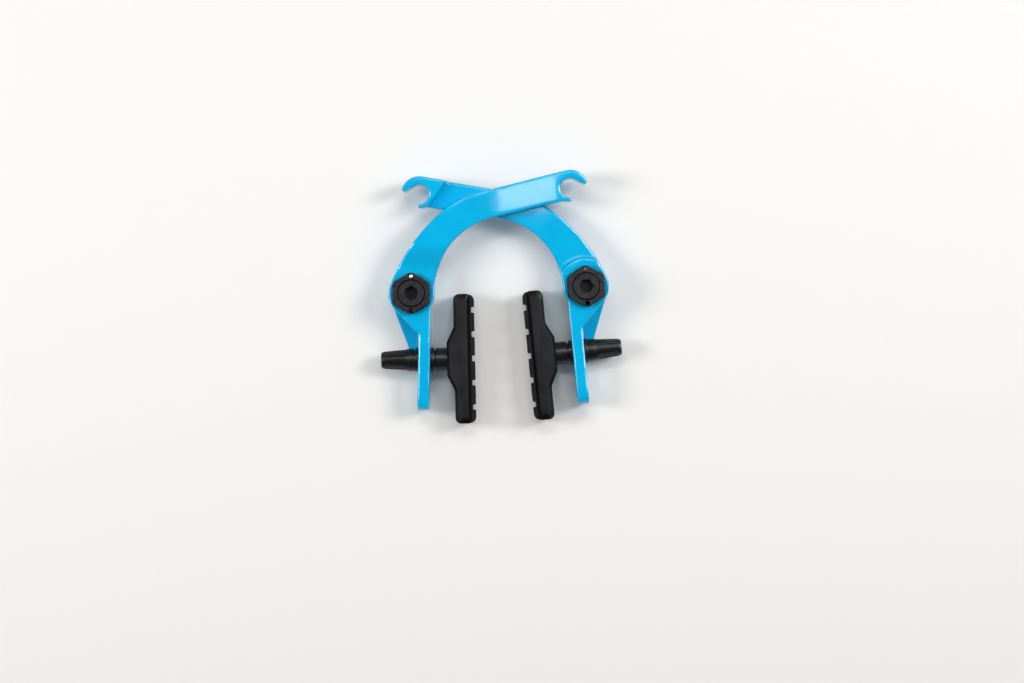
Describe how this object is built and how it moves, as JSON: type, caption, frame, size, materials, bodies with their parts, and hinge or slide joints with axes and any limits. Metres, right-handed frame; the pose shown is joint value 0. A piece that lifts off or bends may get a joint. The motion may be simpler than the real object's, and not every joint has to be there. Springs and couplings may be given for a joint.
{
  "type": "u brake",
  "caption": "Bicycle brake calliper with crossed hook-ended arms, hexagon spring adjusters at its pivots and moulded pads on threaded posts in slotted legs.",
  "frame": {"origin": "midway between the two pivot axes, on the plane of the arms' back faces, which the calliper lies on", "axes": "+X from the left pivot to the right one, +Y from the pads towards the cable hooks, +Z out of the calliper's front"},
  "size_m": [0.111, 0.1139, 0.0226],
  "materials": {
    "blue_paint": "gloss",
    "black_oxide": "satin",
    "black_zinc": "satin",
    "black_gloss": "gloss",
    "zinc_steel": "satin",
    "spring_steel": "satin",
    "bronze": "satin",
    "black_rubber": "matte"
  },
  "bodies": {
    "pivots": {"left_pivot_bolt": "black_oxide", "right_pivot_bolt": "black_oxide"},
    "left_adjuster": {"left_spring_adjuster": "black_oxide", "left_return_spring": "spring_steel"},
    "left_arm": {"left_arm": "blue_paint", "left_arm_bush": "bronze"},
    "left_clamp": {"left_inner_cup": "black_zinc", "left_outer_cup": "black_zinc"},
    "left_pad": {"left_brake_pad": "black_rubber", "left_pad_post": "zinc_steel", "left_inner_dome": "black_zinc", "left_outer_dome": "black_zinc", "left_flat_washer": "black_zinc", "left_pad_nut": "black_gloss"},
    "right_adjuster": {"right_spring_adjuster": "black_oxide", "right_return_spring": "spring_steel"},
    "right_arm": {"right_arm": "blue_paint", "right_arm_bush": "bronze"},
    "right_clamp": {"right_inner_cup": "black_zinc", "right_outer_cup": "black_zinc"},
    "right_pad": {"right_brake_pad": "black_rubber", "right_pad_post": "zinc_steel", "right_inner_dome": "black_zinc", "right_outer_dome": "black_zinc", "right_flat_washer": "black_zinc", "right_pad_nut": "black_gloss"}
  },
  "joints": [
    {"name": "left_adjuster_turn", "type": "hinge", "parent": "pivots", "child": "left_adjuster", "pos_m": [-0.04, 0, 0], "axis": [0, 0, 1], "range_deg": [-30, 30], "deforming": ["left_return_spring"]},
    {"name": "left_arm_turn", "type": "hinge", "parent": "pivots", "child": "left_arm", "pos_m": [-0.04, 0, 0], "axis": [0, 0, 1], "range_deg": [-15, 10], "stiffness_Nm_per_rad": 3, "deforming": ["left_return_spring"]},
    {"name": "left_pad_height", "type": "slide", "parent": "left_arm", "child": "left_clamp", "axis": [0.0584, 0.9983, 0], "range_m": [-0.0144, 0.0015]},
    {"name": "left_pad_turn", "type": "hinge", "parent": "left_clamp", "child": "left_pad", "pos_m": [-0.03547, -0.03042, 0.0092], "axis": [0.9998, -0.0201, 0], "range_deg": [0, 90]},
    {"name": "right_adjuster_turn", "type": "hinge", "parent": "pivots", "child": "right_adjuster", "pos_m": [0.04, 0, 0], "axis": [0, 0, 1], "range_deg": [-30, 30], "deforming": ["right_return_spring"]},
    {"name": "right_arm_turn", "type": "hinge", "parent": "pivots", "child": "right_arm", "pos_m": [0.04, 0, 0], "axis": [0, 0, -1], "range_deg": [-15, 10], "stiffness_Nm_per_rad": 3, "deforming": ["right_return_spring"]},
    {"name": "right_pad_height", "type": "slide", "parent": "right_arm", "child": "right_clamp", "axis": [-0.0584, 0.9983, 0], "range_m": [-0.0153, 0.0006]},
    {"name": "right_pad_turn", "type": "hinge", "parent": "right_clamp", "child": "right_pad", "pos_m": [0.03542, -0.02952, 0.0092], "axis": [-0.9983, -0.0584, 0], "range_deg": [0, 90]}
  ],
  "couplings": [
    {"joint": "right_arm_turn", "follows": "left_arm_turn", "ratio": 1}
  ]
}
